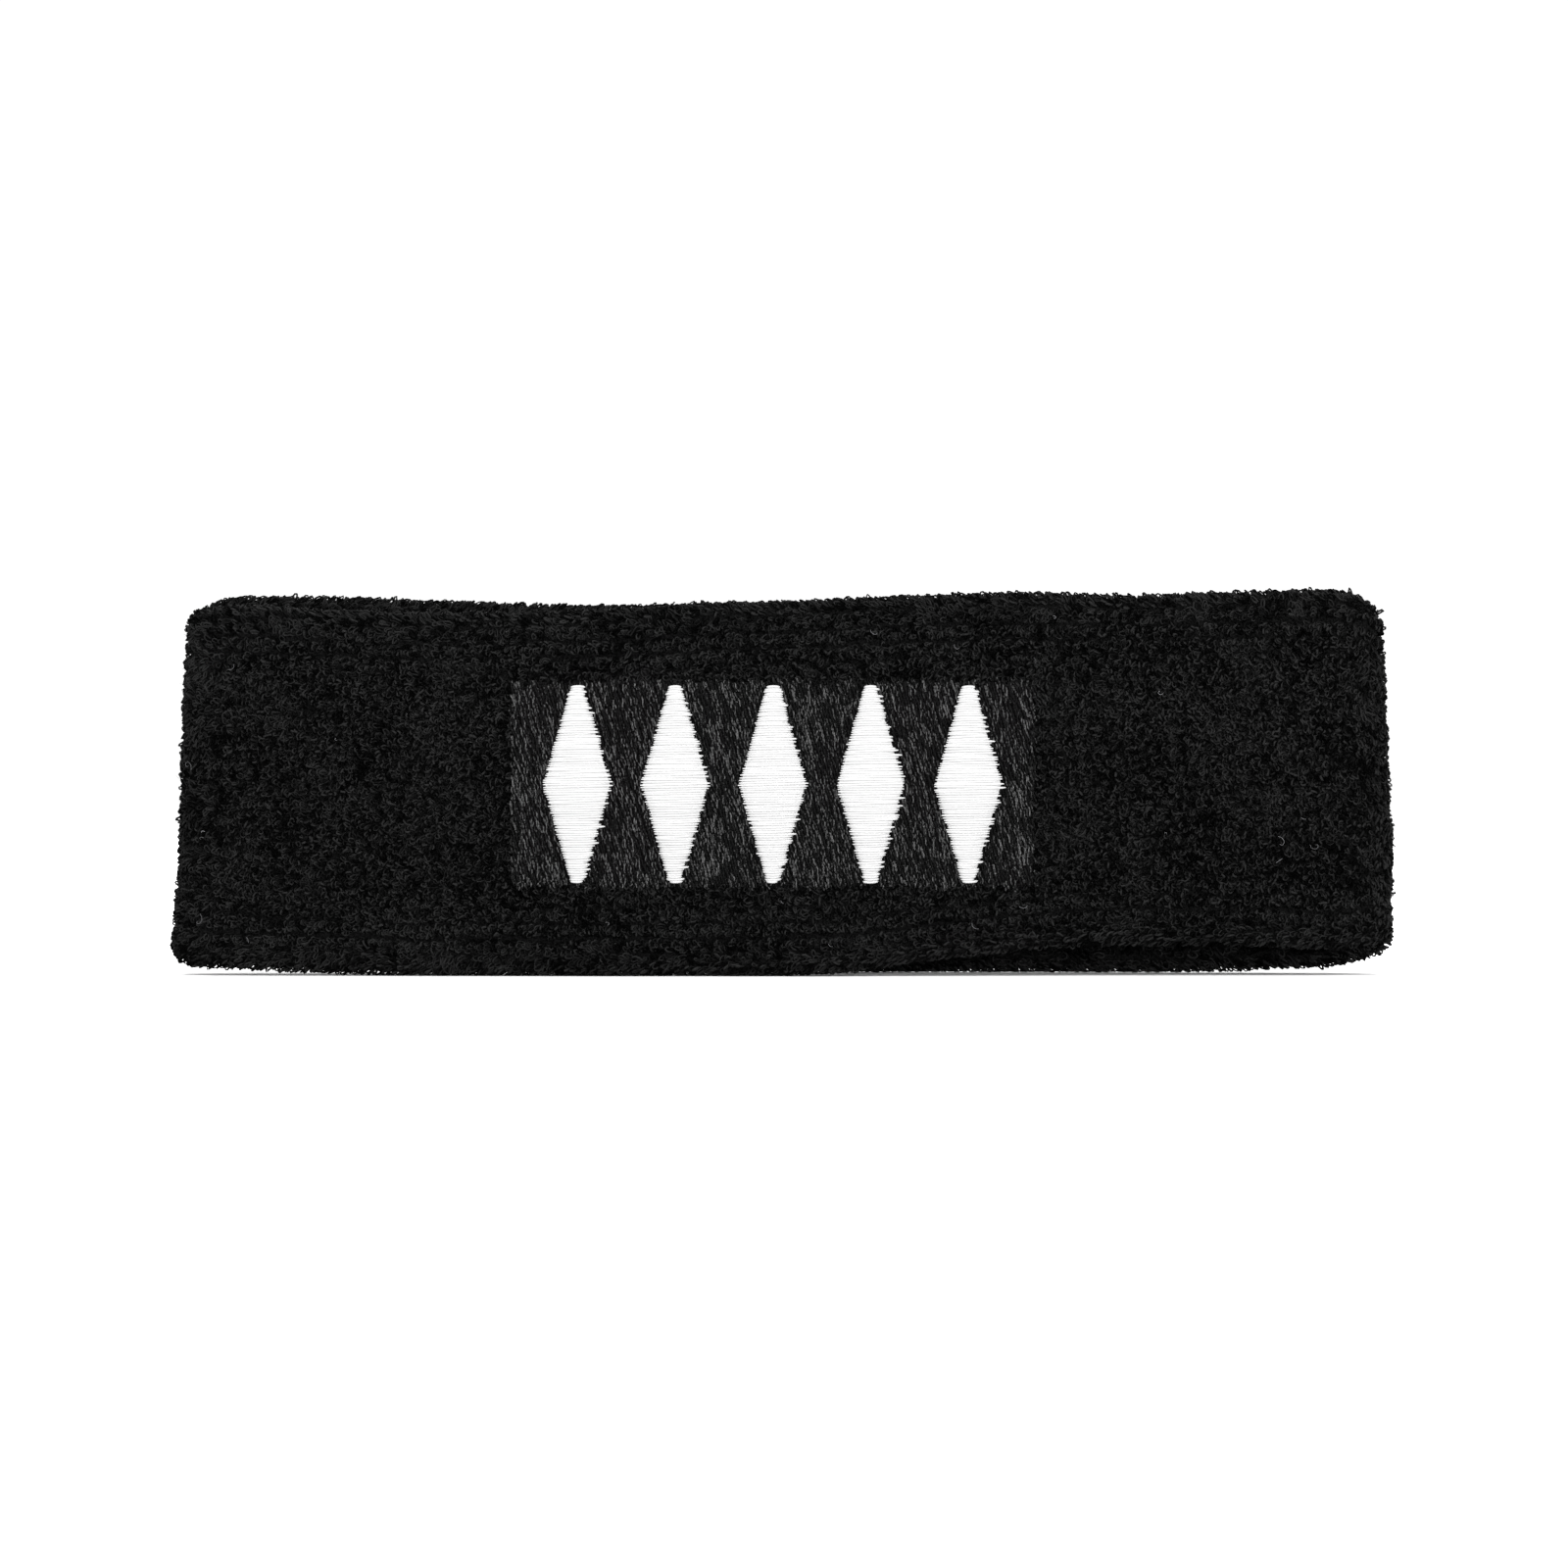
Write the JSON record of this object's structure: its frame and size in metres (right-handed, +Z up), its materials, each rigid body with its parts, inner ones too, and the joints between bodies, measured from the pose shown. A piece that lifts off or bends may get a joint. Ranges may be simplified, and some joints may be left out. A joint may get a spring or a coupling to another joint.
{
  "type": "sports headband",
  "caption": "Endless band of black terry folded double, relaxed and nearly flat, open through the middle for a head, with an embroidered patch on its front.",
  "frame": {"origin": "on the surface that the band stands on, under the middle of the band", "axes": "+Z up along the axis of the loop, +X to the wearer's left along the band's flat length, -Y out of the front panel, which carries the patch"},
  "size_m": [0.1794, 0.0246, 0.0565],
  "materials": {
    "black_terry": "matt cotton loop pile",
    "seam_thread": "spun polyester thread",
    "covered_elastic": "elastic core wound with textured yarn",
    "backing_sheet": "matt non-woven sheet",
    "black_thread": "lustrous embroidery thread in filling stitches",
    "white_thread": "lustrous embroidery thread in satin stitches"
  },
  "bodies": {
    "root": {"terry_tube": "black_terry", "joining_seam": "seam_thread", "seam_tack": "seam_thread", "elastic_yarn_01": "covered_elastic", "elastic_yarn_02": "covered_elastic", "elastic_yarn_03": "covered_elastic", "elastic_yarn_04": "covered_elastic", "elastic_yarn_05": "covered_elastic", "elastic_yarn_06": "covered_elastic", "elastic_yarn_07": "covered_elastic", "elastic_yarn_08": "covered_elastic", "elastic_yarn_09": "covered_elastic", "elastic_yarn_10": "covered_elastic", "elastic_yarn_11": "covered_elastic", "elastic_yarn_12": "covered_elastic", "bobbin_threads": "black_thread", "stabiliser_backing": "backing_sheet", "tatami_fill": "black_thread", "satin_motif_1": "white_thread", "satin_motif_2": "white_thread", "satin_motif_3": "white_thread", "satin_motif_4": "white_thread", "satin_motif_5": "white_thread"}
  },
  "joints": []
}
